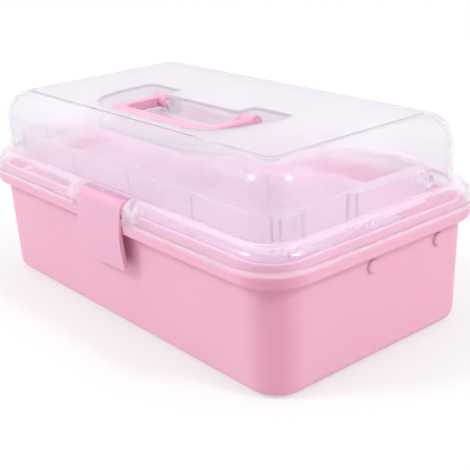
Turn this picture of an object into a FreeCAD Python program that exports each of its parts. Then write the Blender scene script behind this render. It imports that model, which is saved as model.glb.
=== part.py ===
import FreeCAD, Part
import math
import os

import Sketcher

# Plastic tool box with a clear domed lid and two trays that rise as the lid opens.
# Frame: X along the length, Y to the back, Z up, origin under the middle of the tub.
# Lengths are in millimetres and angles in degrees.

SIZES = {
    # Tub
    "tub_length": 316.0,
    "tub_width": 178.4,
    "tub_corner_radius": 23.5,
    "tub_draft": 2.0,
    "tub_wall": 2.2,
    "tub_floor": 2.5,
    "foot_radius": 8.0,
    "rim_underside_height": 73.4,
    "rim_thickness": 7.9,
    "rim_overhang": 7.0,
    "rim_edge_radius": 2.6,
    "upstand_height": 4.7,
    # Lid shell
    "lid_wall": 2.0,
    "skirt_height": 15.6,
    "shoulder_radius": 9.2,
    "shoulder_ledge": 0.6,
    "bead_height": 3.4,
    "bead_proud": 0.9,
    "dome_rise": 43.2,
    "dome_draft": 1.5,
    "dome_corner_radius": 24.5,
    "dome_top_radius": 18.0,
    "plateau_height": 0.8,
    "plateau_inset": 0.6,
    # Handle recess in the top of the lid
    "recess_depth": 13.9,
    "recess_half_length": 77.0,
    "recess_front_half": 68.0,
    "recess_front_reach": 58.5,
    "recess_rear_reach": 6.5,
    "recess_waist_reach": 14.0,
    "recess_front_radius": 32.0,
    "recess_waist_radius": 20.0,
    "recess_corner_radius": 4.0,
    "island_half_length": 40.5,
    "island_front_reach": 9.2,
    "island_corner_radius": 3.0,
    # Handle
    "handle_pivot_reach": 5.0,
    "handle_pivot_depth": 6.9,
    "handle_hub_radius": 5.0,
    "handle_hub_gap": 0.5,
    "handle_half_length": 54.0,
    "handle_arm_width": 6.5,
    "handle_front_reach": 52.5,
    "handle_grip_width": 12.0,
    "handle_thickness": 7.5,
    "handle_corner_radius": 13.0,
    "handle_inner_radius": 7.0,
    "handle_edge_radius": 1.6,
    "handle_stud_radius": 2.0,
    # Latch
    "latch_half_width": 24.6,
    "latch_side_gap": 0.7,
    "latch_barrel_radius": 5.0,
    "latch_back_gap": 0.6,
    "latch_pivot_rise": 9.5,
    "latch_drop": 43.1,
    "latch_face_radius": 83.0,
    "latch_tip_setback": 1.3,
    "latch_tip_lift": 0.6,
    "latch_rim_gap": 0.35,
    "latch_corner_radius": 6.0,
    "latch_stud_radius": 2.2,
    "latch_stud_length": 4.0,
    "latch_stud_end_gap": 0.4,
    "ear_width": 10.0,
    "upstand_gap": 0.6,
    # Rear hinges
    "hinge_offset": 3.7,
    "hinge_barrel_radius": 3.2,
    "hinge_pin_radius": 1.5,
    "hinge_near_edge": 72.0,
    "hinge_length": 26.0,
    "hinge_lug_width": 5.0,
    "hinge_end_gap": 0.3,
    "hinge_bead_gap": 1.0,
    "hinge_web_gap": 0.2,
    # Arms and pivots
    "pivot_height": 65.0,
    "pivot_front_reach": 8.3,
    "pivot_spacing": 60.7,
    "arm_reach": 56.8,
    "arm_rest_angle": 157.0,
    "arm_width": 11.0,
    "arm_thickness": 3.0,
    "arm_side_gap": 0.3,
    "arm_hub_length": 6.0,
    "arm_hub_radius": 5.0,
    # Snap rivets
    "rivet_radius": 2.5,
    "rivet_head_radius": 4.3,
    "rivet_head_height": 1.9,
    "rivet_barb": 0.5,
    "rivet_tip_length": 2.0,
    "rivet_tip_radius": 2.0,
    "rivet_slot": 1.0,
    # Fits
    "running_gap": 0.08,
    "press_gap": 0.02,
    "open_pivot_gap": 0.35,
    # Trays
    "tray_wall": 1.6,
    "tray_draft": 0.6,
    "tray_end_gap": 18.0,
    "tray_corner_radius": 12.0,
    "tray_lip": 2.0,
    "tray_lip_thickness": 1.6,
    "tray_front_gap": 15.0,
    "upper_tray_rear_gap": 22.0,
    "upper_tray_bottom_height": 82.0,
    "upper_tray_depth": 26.6,
    "lower_tray_front_gap": 7.0,
    "lower_tray_rear_gap": 49.0,
    "lower_tray_bottom_height": 50.0,
    "lower_tray_depth": 31.0,
    "divider_thickness": 1.4,
    "divider_drop": 2.5,
    "divider_bite": 0.5,
    "divider_y": -9.0,
    "rear_divider_spacing": 92.0,
    "front_divider_spacing": 68.0,
    "lower_divider_y": -22.0,
    # Brackets on the tray ends
    "bracket_wall": 2.0,
    "bracket_plate": 3.0,
    "bracket_margin": 9.0,
    "bracket_foot": 5.0,
    # Stub of the lid that carries the upper tray
    "drive_boss_radius": 4.2,
    "drive_stub_radius": 2.2,
    "drive_stub_proud": 0.8,
}

# Allowances of the modelling itself, which leave the finished shape as it is
CUT_MARGIN = 1.0
JOIN_OVERLAP = 0.5
TOLERANCE = 0.01

# A round takes this share of the step that it softens
ROUND_SHARE = 0.8

# The knuckle web's far corner, inside its barrel, in shares of the barrel's radius
WEB_CORNER_OUT = 0.5
WEB_CORNER_UP = 0.8


class Size:
    """A number together with the spreadsheet formula that gives it."""

    def __init__(self, value, text):
        self.value = float(value)
        self.text = text

    def __add__(self, other):
        other = as_size(other)
        return Size(self.value + other.value, "(%s + %s)" % (self.text, other.text))

    def __sub__(self, other):
        other = as_size(other)
        return Size(self.value - other.value, "(%s - %s)" % (self.text, other.text))

    def __mul__(self, other):
        other = as_size(other)
        return Size(self.value * other.value, "(%s * %s)" % (self.text, other.text))

    def __truediv__(self, other):
        other = as_size(other)
        return Size(self.value / other.value, "(%s / %s)" % (self.text, other.text))

    def __neg__(self):
        return Size(-self.value, "(0 - %s)" % self.text)

    __radd__ = __add__
    __rmul__ = __mul__


def as_size(number):
    if isinstance(number, Size):
        return number
    return Size(number, "(%r)" % float(number))


def cosine(angle):
    return Size(math.cos(math.radians(angle.value)), "cos(%s)" % angle.text)


def sine(angle):
    return Size(math.sin(math.radians(angle.value)), "sin(%s)" % angle.text)


class Sheet:
    """The driving dimensions, as cells of a spreadsheet with one alias each."""

    def __init__(self, document, numbers):
        self.cells = document.addObject("Spreadsheet::Sheet", "sizes")
        self.numbers = numbers
        row = 1
        for name, number in numbers.items():
            self.cells.set("A%d" % row, name)
            self.cells.set("B%d" % row, str(number))
            self.cells.setAlias("B%d" % row, name)
            row += 1

    def __getattr__(self, name):
        return Size(self.numbers[name], "sizes.%s" % name)


doc = FreeCAD.newDocument("tool_box")
s = Sheet(doc, SIZES)
doc.recompute()

# Places that several pieces share

rim_top = s.rim_underside_height + s.rim_thickness
upstand_top = rim_top + s.upstand_height
tub_half_length = s.tub_length / 2
tub_half_width = s.tub_width / 2
tub_inner_half_length = tub_half_length - s.tub_wall
tub_inner_half_width = tub_half_width - s.tub_wall
rim_half_length = tub_half_length + s.rim_overhang
rim_half_width = tub_half_width + s.rim_overhang
rim_corner_radius = s.tub_corner_radius + s.rim_overhang

shoulder_top = rim_top + s.skirt_height
dome_half_length = rim_half_length - s.shoulder_radius - s.shoulder_ledge
dome_half_width = rim_half_width - s.shoulder_radius - s.shoulder_ledge
dome_top = shoulder_top + s.dome_rise
lid_top = dome_top + s.plateau_height
recess_floor = lid_top - s.recess_depth

hinge_y = rim_half_width + s.hinge_offset
hinge_z = rim_top

handle_y = -s.handle_pivot_reach
handle_z = lid_top - s.handle_pivot_depth

latch_y = -(dome_half_width + s.latch_back_gap + s.latch_barrel_radius)
latch_z = rim_top + s.latch_pivot_rise
notch_half_width = s.latch_half_width + s.latch_side_gap

pivot_front_y = -s.pivot_front_reach
pivot_rear_y = s.pivot_spacing - s.pivot_front_reach
pivot_z = s.pivot_height
reach_y = s.arm_reach * cosine(s.arm_rest_angle)
reach_z = s.arm_reach * sine(s.arm_rest_angle)

# The hubs of the arms stand off the drafted end wall, and clear it at their lower edge
hub_drop = upstand_top - pivot_z + s.arm_hub_radius
hub_wall_x = tub_inner_half_length - s.tub_draft * hub_drop / (upstand_top - s.tub_floor)
arm_outer_x = hub_wall_x - s.arm_side_gap - s.arm_hub_length
arm_inner_x = arm_outer_x - s.arm_thickness
bracket_outer_x = arm_inner_x - s.arm_side_gap
bracket_inner_x = bracket_outer_x - s.bracket_plate

upper_front_stud = (pivot_front_y + reach_y, pivot_z + reach_z)
upper_rear_stud = (pivot_rear_y + reach_y, pivot_z + reach_z)
lower_front_stud = (pivot_front_y + reach_y / 2, pivot_z + reach_z / 2)
lower_rear_stud = (pivot_rear_y + reach_y / 2, pivot_z + reach_z / 2)
drive_stud = (hinge_y + reach_y, hinge_z + reach_z)

# Drawing and modelling helpers


def origin_feature(body, role):
    for feature in body.Origin.OriginFeatures:
        if feature.Role == role:
            return feature
    raise ValueError(role)


def new_body(label):
    body = doc.addObject("PartDesign::Body", label)
    body.Label = label
    return body


def new_sketch(body, name, role, offset=0):
    """An empty sketch on one of the body's origin planes, moved along its normal."""
    sketch = body.newObject("Sketcher::SketchObject", name)
    sketch.AttachmentSupport = [(origin_feature(body, role), "")]
    sketch.MapMode = "FlatFace"
    offset = as_size(offset)
    sketch.AttachmentOffset = FreeCAD.Placement(FreeCAD.Vector(0, 0, offset.value), FreeCAD.Rotation())
    sketch.setExpression("AttachmentOffset.Base.z", offset.text)
    return sketch


def bind(sketch, constraint, name, size):
    """Add a dimension to the sketch and tie it to its formula."""
    index = sketch.addConstraint(constraint)
    sketch.renameConstraint(index, name)
    sketch.setExpression("Constraints.%s" % name, size.text)


def place_point(sketch, geometry, vertex, name, x, y):
    bind(sketch, Sketcher.Constraint("DistanceX", -1, 1, geometry, vertex, x.value), name + "_x", x)
    bind(sketch, Sketcher.Constraint("DistanceY", -1, 1, geometry, vertex, y.value), name + "_y", y)


def draw_outline(sketch, corners, prefix="corner"):
    """Closed outline through corners (x, y, radius); a radius of None leaves the corner sharp."""
    corners = [(as_size(x), as_size(y), None if r is None else as_size(r)) for x, y, r in corners]
    count = len(corners)
    points = [FreeCAD.Vector(x.value, y.value, 0) for x, y, r in corners]
    entries = []
    exits = []
    for i in range(count):
        radius = corners[i][2]
        if radius is None:
            entries.append(points[i])
            exits.append(points[i])
            continue
        back = (points[i - 1] - points[i]).normalize()
        ahead = (points[(i + 1) % count] - points[i]).normalize()
        half_angle = back.getAngle(ahead) / 2
        run = radius.value / math.tan(half_angle)
        entries.append(points[i] + back * run)
        exits.append(points[i] + ahead * run)
    lines = []
    for i in range(count):
        line = Part.LineSegment(exits[i], entries[(i + 1) % count])
        lines.append(sketch.addGeometry(line, False))
    for i in range(count):
        x, y, radius = corners[i]
        name = "%s_%d" % (prefix, i + 1)
        before = lines[i - 1]
        after = lines[i]
        if radius is None:
            sketch.addConstraint(Sketcher.Constraint("Coincident", before, 2, after, 1))
            place_point(sketch, after, 1, name, x, y)
            continue
        back = (points[i - 1] - points[i]).normalize()
        ahead = (points[(i + 1) % count] - points[i]).normalize()
        half_angle = back.getAngle(ahead) / 2
        centre = points[i] + (back + ahead).normalize() * (radius.value / math.sin(half_angle))
        first = entries[i] - centre
        last = exits[i] - centre
        turns_left = (ahead.cross(back)).z > 0
        start = first if turns_left else last
        end = last if turns_left else first
        circle = Part.Circle(centre, FreeCAD.Vector(0, 0, 1), radius.value)
        start_angle = math.atan2(start.y, start.x)
        end_angle = math.atan2(end.y, end.x)
        arc = sketch.addGeometry(Part.ArcOfCircle(circle, start_angle, end_angle), False)
        first_end = 1 if turns_left else 2
        last_end = 2 if turns_left else 1
        apex = sketch.addGeometry(Part.Point(points[i]), True)
        sketch.addConstraint([
            Sketcher.Constraint("Tangent", before, 2, arc, first_end),
            Sketcher.Constraint("Tangent", arc, last_end, after, 1),
            Sketcher.Constraint("PointOnObject", apex, 1, before),
            Sketcher.Constraint("PointOnObject", apex, 1, after),
        ])
        place_point(sketch, apex, 1, name, x, y)
        bind(sketch, Sketcher.Constraint("Radius", arc, radius.value), name + "_round", radius)


def draw_box(sketch, x_low, x_high, y_low, y_high, radius=None, prefix="corner"):
    corners = [(x_low, y_low, radius), (x_high, y_low, radius)]
    corners += [(x_high, y_high, radius), (x_low, y_high, radius)]
    draw_outline(sketch, corners, prefix)


def draw_circle(sketch, x, y, radius, prefix="circle"):
    x = as_size(x)
    y = as_size(y)
    radius = as_size(radius)
    centre = FreeCAD.Vector(x.value, y.value, 0)
    circle = sketch.addGeometry(Part.Circle(centre, FreeCAD.Vector(0, 0, 1), radius.value), False)
    place_point(sketch, circle, 3, prefix, x, y)
    bind(sketch, Sketcher.Constraint("Radius", circle, radius.value), prefix + "_round", radius)


def box_sketch(body, name, height, half_length, half_width, radius):
    """A horizontal rounded rectangle about the Z axis at the given height."""
    sketch = new_sketch(body, name, "XY_Plane", height)
    draw_box(sketch, -half_length, half_length, -half_width, half_width, radius)
    return sketch


def tray_sketch(body, name, height, half_length, front, rear, radius):
    """A horizontal rounded rectangle that need not be centred from front to rear."""
    sketch = new_sketch(body, name, "XY_Plane", height)
    draw_box(sketch, -half_length, half_length, front, rear, radius)
    return sketch


def extrude(body, kind, sketch, length, name, spread=None, reverse=False):
    """A pad or pocket; spread is how much wider each side is at the far end."""
    feature = body.newObject("PartDesign::" + kind, name)
    feature.Profile = sketch
    length = as_size(length)
    feature.Length = length.value
    feature.setExpression("Length", length.text)
    feature.Reversed = reverse
    if spread is not None:
        feature.TaperAngle = math.degrees(math.atan(spread.value / length.value))
        feature.setExpression("TaperAngle", "atan(%s / %s)" % (spread.text, length.text))
    doc.recompute()
    return feature


def pad(body, sketch, length, name, spread=None):
    return extrude(body, "Pad", sketch, length, name, spread)


def pocket(body, sketch, length, name, spread=None, reverse=False):
    feature = extrude(body, "Pocket", sketch, length, name, spread, reverse)
    before = feature.BaseFeature.Shape.Volume
    if feature.Shape.Volume > before - TOLERANCE:
        raise ValueError("%s of %s cuts nothing" % (name, body.Label))
    return feature


def fillet(body, base, picked, radius, name):
    """Round the edges of the base feature that the test picks."""
    names = []
    for i, edge in enumerate(base.Shape.Edges):
        if picked(edge):
            names.append("Edge%d" % (i + 1))
    if not names:
        raise ValueError("%s of %s finds no edge" % (name, body.Label))
    feature = body.newObject("PartDesign::Fillet", name)
    feature.Base = (base, names)
    radius = as_size(radius)
    feature.Radius = radius.value
    feature.setExpression("Radius", radius.text)
    doc.recompute()
    return feature


def mirror(body, features, name):
    """The same features again on the other end of the box."""
    feature = body.newObject("PartDesign::Mirrored", name)
    feature.Originals = features
    feature.MirrorPlane = (origin_feature(body, "YZ_Plane"), [""])
    body.Tip = feature
    doc.recompute()
    return feature


def level_edge(height):
    """A test for edges that lie flat at one height."""
    def picked(edge):
        box = edge.BoundBox
        return abs(box.ZMin - height.value) < TOLERANCE and abs(box.ZMax - height.value) < TOLERANCE
    return picked


# Pieces


def make_base_tub():
    body = new_body("base_tub")
    foot = box_sketch(body, "foot_outline", 0, tub_half_length - s.tub_draft,
                      tub_half_width - s.tub_draft, s.tub_corner_radius - s.tub_draft)
    shell = pad(body, foot, s.rim_underside_height, "shell", s.tub_draft)
    rounded = fillet(body, shell, level_edge(as_size(0)), s.foot_radius, "foot_round")

    rim_outline = box_sketch(body, "rim_outline", s.rim_underside_height, rim_half_length,
                             rim_half_width, rim_corner_radius)
    rim = pad(body, rim_outline, s.rim_thickness, "rim")

    def rim_lower_edge(edge):
        box = edge.BoundBox
        outside = max(abs(box.XMin), abs(box.XMax)) > tub_half_length.value + TOLERANCE
        outside = outside or max(abs(box.YMin), abs(box.YMax)) > tub_half_width.value + TOLERANCE
        return outside and level_edge(s.rim_underside_height)(edge)

    fillet(body, rim, rim_lower_edge, s.rim_edge_radius, "rim_edge_round")

    upstand_outline = box_sketch(body, "upstand_outline", rim_top, tub_half_length,
                                 tub_half_width, s.tub_corner_radius)
    pad(body, upstand_outline, s.upstand_height, "upstand")

    mouth_outline = box_sketch(body, "mouth_outline", upstand_top, tub_inner_half_length,
                               tub_inner_half_width, s.tub_corner_radius - s.tub_wall)
    hollow = pocket(body, mouth_outline, upstand_top - s.tub_floor, "hollow", -s.tub_draft)
    fillet(body, hollow, level_edge(s.tub_floor), s.foot_radius - s.tub_wall, "floor_round")

    # Rivet holes for the arms
    hole_outline = new_sketch(body, "rivet_hole_outline", "YZ_Plane", rim_half_length)
    rivet_hole = s.rivet_radius + s.press_gap
    draw_circle(hole_outline, pivot_front_y, pivot_z, rivet_hole, "front")
    draw_circle(hole_outline, pivot_rear_y, pivot_z, rivet_hole, "rear")
    holes = pocket(body, hole_outline, rim_half_length - arm_outer_x, "rivet_holes")
    mirror(body, [holes], "other_end_holes")

    # Hinge lugs behind the rim
    web_outline = new_sketch(body, "lug_web_outline", "YZ_Plane", s.hinge_near_edge)
    draw_outline(web_outline, [
        (rim_half_width - JOIN_OVERLAP, s.rim_underside_height + s.rim_edge_radius, None),
        (hinge_y, hinge_z - s.hinge_barrel_radius, None),
        (hinge_y, hinge_z, None),
        (rim_half_width - JOIN_OVERLAP, hinge_z, None),
    ])
    web = pad(body, web_outline, s.hinge_length, "lug_web")
    barrel_outline = new_sketch(body, "lug_barrel_outline", "YZ_Plane", s.hinge_near_edge)
    draw_circle(barrel_outline, hinge_y, hinge_z, s.hinge_barrel_radius)
    barrel = pad(body, barrel_outline, s.hinge_length, "lug_barrel")
    gap_outline = new_sketch(body, "knuckle_gap_outline", "XZ_Plane", -rim_half_width)
    gap_start = s.hinge_near_edge + s.hinge_lug_width
    gap_end = s.hinge_near_edge + s.hinge_length - s.hinge_lug_width
    draw_box(gap_outline, gap_start, gap_end, s.rim_underside_height - CUT_MARGIN, upstand_top)
    gap = pocket(body, gap_outline, s.hinge_offset + 2 * s.hinge_barrel_radius, "knuckle_gap")
    pin_outline = new_sketch(body, "pin_hole_outline", "YZ_Plane",
                             s.hinge_near_edge + s.hinge_length + CUT_MARGIN)
    draw_circle(pin_outline, hinge_y, hinge_z, s.hinge_pin_radius + s.press_gap)
    pin_hole = pocket(body, pin_outline, s.hinge_length + 2 * CUT_MARGIN, "pin_hole")
    mirror(body, [web, barrel, gap, pin_hole], "other_hinge_lugs")
    return body


def recess_corners(grow):
    """Outline of the handle recess, grown outwards by the given wall."""
    front = -(s.recess_front_reach + grow)
    rear = s.recess_rear_reach + grow
    island_front = grow - s.island_front_reach
    half = s.recess_half_length + grow
    island = s.island_half_length - grow
    front_half = s.recess_front_half + grow
    waist = -s.recess_waist_reach
    front_radius = s.recess_front_radius + grow
    waist_radius = s.recess_waist_radius + grow
    corner_radius = s.recess_corner_radius + grow
    lobe_radius = s.island_corner_radius + grow
    right = [
        (front_half, front, front_radius),
        (half, waist, waist_radius),
        (half, rear, corner_radius),
        (island, rear, lobe_radius),
        (island, island_front, s.island_corner_radius - grow / 2),
    ]
    left = [(-x, y, radius) for x, y, radius in reversed(right)]
    return right + left


def make_lid():
    body = new_body("lid")
    bead_outline = box_sketch(body, "bead_outline", rim_top, rim_half_length + s.bead_proud,
                              rim_half_width + s.bead_proud, rim_corner_radius + s.bead_proud)
    bead = pad(body, bead_outline, s.bead_height, "bead")
    fillet(body, bead, level_edge(rim_top + s.bead_height), s.bead_proud * ROUND_SHARE, "bead_round")
    skirt_outline = box_sketch(body, "skirt_outline", rim_top, rim_half_length, rim_half_width,
                               rim_corner_radius)
    pad(body, skirt_outline, s.skirt_height, "skirt")
    hollow_outline = box_sketch(body, "skirt_hollow_outline", shoulder_top - s.lid_wall,
                                rim_half_length - s.lid_wall, rim_half_width - s.lid_wall,
                                rim_corner_radius - s.lid_wall)
    skirt_hollow = pocket(body, hollow_outline, s.skirt_height, "skirt_hollow")
    inner_round = fillet(body, skirt_hollow, level_edge(shoulder_top - s.lid_wall),
                         s.shoulder_radius - s.lid_wall, "shoulder_hollow_round")
    fillet(body, inner_round, level_edge(shoulder_top), s.shoulder_radius, "shoulder_round")

    # Dome on the shoulder, hollowed while its edges are sharp and then rounded inside and out
    dome_foot = box_sketch(body, "dome_foot_outline", shoulder_top - s.lid_wall / 2, dome_half_length,
                           dome_half_width, s.dome_corner_radius)
    pad(body, dome_foot, s.dome_rise + s.lid_wall / 2, "dome", -s.dome_draft)
    inset = s.lid_wall + s.dome_draft
    inner_head = box_sketch(body, "dome_hollow_head", dome_top - s.lid_wall,
                            dome_half_length - inset, dome_half_width - inset,
                            s.dome_corner_radius - inset)
    dome_hollow = pocket(body, inner_head, s.dome_rise + s.lid_wall, "dome_hollow", s.dome_draft)
    inner_round = fillet(body, dome_hollow, level_edge(dome_top - s.lid_wall),
                         s.dome_top_radius - s.lid_wall, "dome_hollow_round")
    fillet(body, inner_round, level_edge(dome_top), s.dome_top_radius, "dome_round")
    flat_inset = s.dome_draft + s.dome_top_radius + s.plateau_inset
    plateau_outline = box_sketch(body, "plateau_outline", dome_top - s.lid_wall / 2,
                                 dome_half_length - flat_inset, dome_half_width - flat_inset,
                                 s.dome_corner_radius - flat_inset)
    pad(body, plateau_outline, s.plateau_height + s.lid_wall / 2, "plateau")

    # Handle recess: a walled pan let into the top, with an island that holds the handle's studs
    pan_outline = new_sketch(body, "pan_outline", "XY_Plane", recess_floor - s.lid_wall)
    draw_outline(pan_outline, recess_corners(s.lid_wall))
    pad(body, pan_outline, dome_top - recess_floor + s.lid_wall / 2, "pan")
    recess_outline = new_sketch(body, "recess_outline", "XY_Plane", lid_top + CUT_MARGIN)
    draw_outline(recess_outline, recess_corners(as_size(0)))
    pocket(body, recess_outline, s.recess_depth + CUT_MARGIN, "recess")
    stud_hole_outline = new_sketch(body, "handle_hole_outline", "YZ_Plane",
                                   s.island_half_length + CUT_MARGIN)
    draw_circle(stud_hole_outline, handle_y, handle_z, s.handle_stud_radius + s.running_gap)
    stud_hole = pocket(body, stud_hole_outline, s.lid_wall + 2 * CUT_MARGIN, "handle_hole")
    mirror(body, [stud_hole], "other_handle_hole")

    # Notch for the latch: the shoulder is cut away and the dome wall carries on down behind it
    notch_outline = new_sketch(body, "notch_outline", "XZ_Plane", dome_half_width)
    draw_box(notch_outline, -notch_half_width, notch_half_width, rim_top - CUT_MARGIN,
             shoulder_top + CUT_MARGIN)
    notch_depth = rim_half_width + s.bead_proud - dome_half_width
    pocket(body, notch_outline, notch_depth + CUT_MARGIN, "notch", None, True)
    guard_outline = new_sketch(body, "guard_outline", "XZ_Plane", dome_half_width - s.lid_wall)
    draw_box(guard_outline, -(notch_half_width + s.ear_width / 2), notch_half_width + s.ear_width / 2,
             upstand_top + s.upstand_gap, shoulder_top)
    pad(body, guard_outline, s.lid_wall, "notch_guard")

    # Ears beside the latch, inside the skirt and shoulder, with blind holes for its studs
    ear_outline = new_sketch(body, "ear_outline", "YZ_Plane", notch_half_width)
    ear_front = -(rim_half_width - s.lid_wall / 2)
    ear_back = -(dome_half_width - s.lid_wall / 2)
    ear_step = -(tub_half_width + s.upstand_gap)
    ear_top = shoulder_top - s.lid_wall / 2
    draw_outline(ear_outline, [
        (ear_front, rim_top, None),
        (ear_step, rim_top, None),
        (ear_step, upstand_top + s.upstand_gap, None),
        (ear_back, upstand_top + s.upstand_gap, None),
        (ear_back, ear_top, None),
        (ear_front, ear_top, s.shoulder_radius - s.lid_wall / 2),
    ])
    ear = pad(body, ear_outline, s.ear_width, "ear")
    ear_hole_outline = new_sketch(body, "ear_hole_outline", "YZ_Plane",
                                  notch_half_width + s.latch_stud_length)
    draw_circle(ear_hole_outline, latch_y, latch_z, s.latch_stud_radius + s.running_gap)
    ear_hole = pocket(body, ear_hole_outline, s.latch_stud_length + CUT_MARGIN, "ear_hole")
    mirror(body, [ear, ear_hole], "other_ear")

    # Hinge knuckles, each in a gap of the bead
    clear_outline = new_sketch(body, "bead_gap_outline", "XZ_Plane", -rim_half_width)
    draw_box(clear_outline, s.hinge_near_edge - s.hinge_bead_gap,
             s.hinge_near_edge + s.hinge_length + s.hinge_bead_gap,
             rim_top - CUT_MARGIN, rim_top + s.bead_height + CUT_MARGIN)
    clear = pocket(body, clear_outline, s.bead_proud + CUT_MARGIN, "bead_gap")
    knuckle_start = s.hinge_near_edge + s.hinge_lug_width + s.hinge_end_gap
    knuckle_length = s.hinge_length - 2 * s.hinge_lug_width - 2 * s.hinge_end_gap
    web_outline = new_sketch(body, "knuckle_web_outline", "YZ_Plane", knuckle_start)
    web_rise = s.skirt_height - s.shoulder_radius
    draw_outline(web_outline, [
        (rim_half_width - s.lid_wall / 2, hinge_z + s.hinge_web_gap, None),
        (hinge_y, hinge_z + s.hinge_web_gap, None),
        (hinge_y + s.hinge_barrel_radius * WEB_CORNER_OUT,
         hinge_z + s.hinge_barrel_radius * WEB_CORNER_UP, None),
        (rim_half_width - s.lid_wall / 2, hinge_z + web_rise, None),
    ])
    web = pad(body, web_outline, knuckle_length, "knuckle_web")
    barrel_outline = new_sketch(body, "knuckle_barrel_outline", "YZ_Plane", knuckle_start)
    draw_circle(barrel_outline, hinge_y, hinge_z, s.hinge_barrel_radius)
    barrel = pad(body, barrel_outline, knuckle_length, "knuckle_barrel")
    bore_outline = new_sketch(body, "knuckle_bore_outline", "YZ_Plane",
                              knuckle_start + knuckle_length + CUT_MARGIN)
    draw_circle(bore_outline, hinge_y, hinge_z, s.hinge_pin_radius + s.running_gap)
    bore = pocket(body, bore_outline, knuckle_length + 2 * CUT_MARGIN, "knuckle_bore")
    mirror(body, [clear, web, barrel, bore], "other_knuckle")

    # Stubs on the end walls that carry the upper tray as the lid opens
    boss_face = bracket_outer_x + s.arm_side_gap
    boss_outline = new_sketch(body, "drive_boss_outline", "YZ_Plane", boss_face)
    draw_circle(boss_outline, drive_stud[0], drive_stud[1], s.drive_boss_radius)
    boss_length = dome_half_length - s.lid_wall / 2 - boss_face
    boss = pad(body, boss_outline, boss_length, "drive_boss")
    stub_tip = bracket_inner_x - s.drive_stub_proud
    stub_outline = new_sketch(body, "drive_stub_outline", "YZ_Plane", stub_tip)
    draw_circle(stub_outline, drive_stud[0], drive_stud[1], s.drive_stub_radius)
    stub = pad(body, stub_outline, boss_face - stub_tip + JOIN_OVERLAP, "drive_stub")
    mirror(body, [boss, stub], "other_drive_boss")
    return body


def make_handle():
    body = new_body("handle")
    half = s.handle_half_length
    inner = half - s.handle_arm_width
    front = -s.handle_front_reach
    grip_back = s.handle_grip_width - s.handle_front_reach
    bottom = handle_z - s.handle_thickness / 2
    bail_outline = new_sketch(body, "bail_outline", "XY_Plane", bottom)
    draw_outline(bail_outline, [
        (half, handle_y, None),
        (inner, handle_y, None),
        (inner, grip_back, s.handle_inner_radius),
        (-inner, grip_back, s.handle_inner_radius),
        (-inner, handle_y, None),
        (-half, handle_y, None),
        (-half, front, s.handle_corner_radius),
        (half, front, s.handle_corner_radius),
    ])
    bail = pad(body, bail_outline, s.handle_thickness, "bail")

    def long_edge(edge):
        box = edge.BoundBox
        at_hub = box.YMin > handle_y.value - TOLERANCE
        level = box.ZMax - box.ZMin < TOLERANCE
        return level and not at_hub

    fillet(body, bail, long_edge, s.handle_edge_radius, "bail_round")
    hub_start = s.island_half_length + s.handle_hub_gap
    hub_outline = new_sketch(body, "hub_outline", "YZ_Plane", hub_start)
    draw_circle(hub_outline, handle_y, handle_z, s.handle_hub_radius)
    hub = pad(body, hub_outline, half - hub_start, "hub")
    stud_outline = new_sketch(body, "stud_outline", "YZ_Plane", s.island_half_length - s.lid_wall)
    draw_circle(stud_outline, handle_y, handle_z, s.handle_stud_radius)
    stud = pad(body, stud_outline, s.lid_wall + s.handle_hub_gap + JOIN_OVERLAP, "stud")
    mirror(body, [hub, stud], "other_hub")
    return body


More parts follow.
